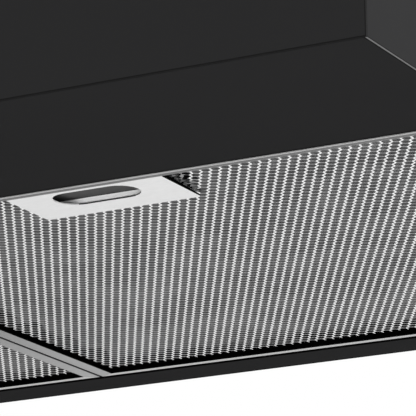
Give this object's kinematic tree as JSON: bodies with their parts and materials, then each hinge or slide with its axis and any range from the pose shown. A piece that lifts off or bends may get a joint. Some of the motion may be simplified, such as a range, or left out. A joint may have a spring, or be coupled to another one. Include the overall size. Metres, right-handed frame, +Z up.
{
  "type": "under cabinet range hood",
  "caption": "Black box-shaped kitchen hood for fixing under a wall cabinet, with swing-down grease filters, push buttons, lamps and a twin centrifugal blower.",
  "frame": {"origin": "centre of the top panel's upper face, which sits against the cabinet", "axes": "+X along the width to the right as seen from the front, +Y from the front to the wall, +Z up"},
  "size_m": [0.75, 0.4871, 0.1562],
  "materials": {
    "black_paint": "satin powder coat",
    "filter_aluminium": "mill finish, lightly anodised",
    "brushed_plate": "fine straight brushing",
    "spring_steel": "bright drawn",
    "galvanised": "zinc coated sheet",
    "satin_bezel": "satin",
    "lamp_lens": "frosted diffuser",
    "black_plastic": "fine moulded texture",
    "circuit_board": "solder mask",
    "motor_steel": "black enamel",
    "damper_aluminium": "rolled sheet",
    "grey_plastic": "moulded"
  },
  "bodies": {
    "housing": {"top_panel": "black_paint", "front_panel": "black_paint", "left_side_panel": "black_paint", "right_side_panel": "black_paint", "back_panel": "black_paint", "bottom_pan": "black_paint", "left_scroll": "galvanised", "left_lamp_housing": "galvanised", "left_lamp_bezel": "satin_bezel", "left_lamp_lens": "lamp_lens", "right_scroll": "galvanised", "right_lamp_housing": "galvanised", "right_lamp_bezel": "satin_bezel", "right_lamp_lens": "lamp_lens", "control_plate": "black_plastic", "cable_grommet": "black_plastic", "switch_board": "circuit_board", "motor": "motor_steel", "motor_bracket": "galvanised", "duct_collar": "galvanised", "wiring_box": "galvanised", "wiring_box_cover": "galvanised", "damper_rod": "spring_steel", "cover_screw_1": "spring_steel", "cover_screw_2": "spring_steel", "capacitor": "damper_aluminium", "terminal_block": "grey_plastic"},
    "left_filter": {"left_filter_frame": "filter_aluminium", "left_outer_mesh": "filter_aluminium", "left_grease_pack": "filter_aluminium", "left_inner_mesh": "filter_aluminium", "left_latch_plate": "brushed_plate", "left_latch_spring": "spring_steel", "left_rear_hook": "filter_aluminium"},
    "left_latch": {"left_latch_slide": "brushed_plate"},
    "right_filter": {"right_filter_frame": "filter_aluminium", "right_outer_mesh": "filter_aluminium", "right_grease_pack": "filter_aluminium", "right_inner_mesh": "filter_aluminium", "right_latch_plate": "brushed_plate", "right_latch_spring": "spring_steel", "right_rear_hook": "filter_aluminium"},
    "right_latch": {"right_latch_slide": "brushed_plate"},
    "blower_rotor": {"blower_shaft": "spring_steel", "left_impeller": "galvanised", "right_impeller": "galvanised"},
    "front_damper": {"front_damper_flap": "damper_aluminium"},
    "rear_damper": {"rear_damper_flap": "damper_aluminium"},
    "light_push": {"light_button": "black_plastic"},
    "off_push": {"off_button": "black_plastic"},
    "low_push": {"low_button": "black_plastic"},
    "medium_push": {"medium_button": "black_plastic"},
    "high_push": {"high_button": "black_plastic"}
  },
  "joints": [
    {"name": "left_filter_swing", "type": "hinge", "parent": "housing", "child": "left_filter", "pos_m": [-0.17755, 0.21105, -0.128], "axis": [1, 0, 0], "range_deg": [0, 65]},
    {"name": "left_latch_push", "type": "slide", "parent": "left_filter", "child": "left_latch", "axis": [0, 1, 0], "range_m": [0, 0.006], "stiffness_N_per_m": 150, "springref_m": -0.004, "deforming": ["left_latch_spring"]},
    {"name": "right_filter_swing", "type": "hinge", "parent": "housing", "child": "right_filter", "pos_m": [0.17755, 0.21105, -0.128], "axis": [1, 0, 0], "range_deg": [0, 65]},
    {"name": "right_latch_push", "type": "slide", "parent": "right_filter", "child": "right_latch", "axis": [0, 1, 0], "range_m": [0, 0.006], "stiffness_N_per_m": 150, "springref_m": -0.004, "deforming": ["right_latch_spring"]},
    {"name": "blower_spin", "type": "hinge", "parent": "housing", "child": "blower_rotor", "pos_m": [0, 0.12975, -0.064], "axis": [1, 0, 0], "continuous": true},
    {"name": "front_damper_swing", "type": "hinge", "parent": "housing", "child": "front_damper", "pos_m": [0, 0.15175, 0.006], "axis": [-1, 0, 0], "range_deg": [0, 80]},
    {"name": "rear_damper_swing", "type": "hinge", "parent": "housing", "child": "rear_damper", "pos_m": [0, 0.15175, 0.006], "axis": [1, 0, 0], "range_deg": [0, 80]},
    {"name": "light_press", "type": "slide", "parent": "housing", "child": "light_push", "axis": [0, 1, 0], "range_m": [0, 0.0023], "stiffness_N_per_m": 250, "springref_m": -0.002},
    {"name": "off_press", "type": "slide", "parent": "housing", "child": "off_push", "axis": [0, 1, 0], "range_m": [0, 0.0023], "stiffness_N_per_m": 250, "springref_m": -0.002},
    {"name": "low_press", "type": "slide", "parent": "housing", "child": "low_push", "axis": [0, 1, 0], "range_m": [0, 0.0023], "stiffness_N_per_m": 250, "springref_m": -0.002},
    {"name": "medium_press", "type": "slide", "parent": "housing", "child": "medium_push", "axis": [0, 1, 0], "range_m": [0, 0.0023], "stiffness_N_per_m": 250, "springref_m": -0.002},
    {"name": "high_press", "type": "slide", "parent": "housing", "child": "high_push", "axis": [0, 1, 0], "range_m": [0, 0.0023], "stiffness_N_per_m": 250, "springref_m": -0.002}
  ]
}
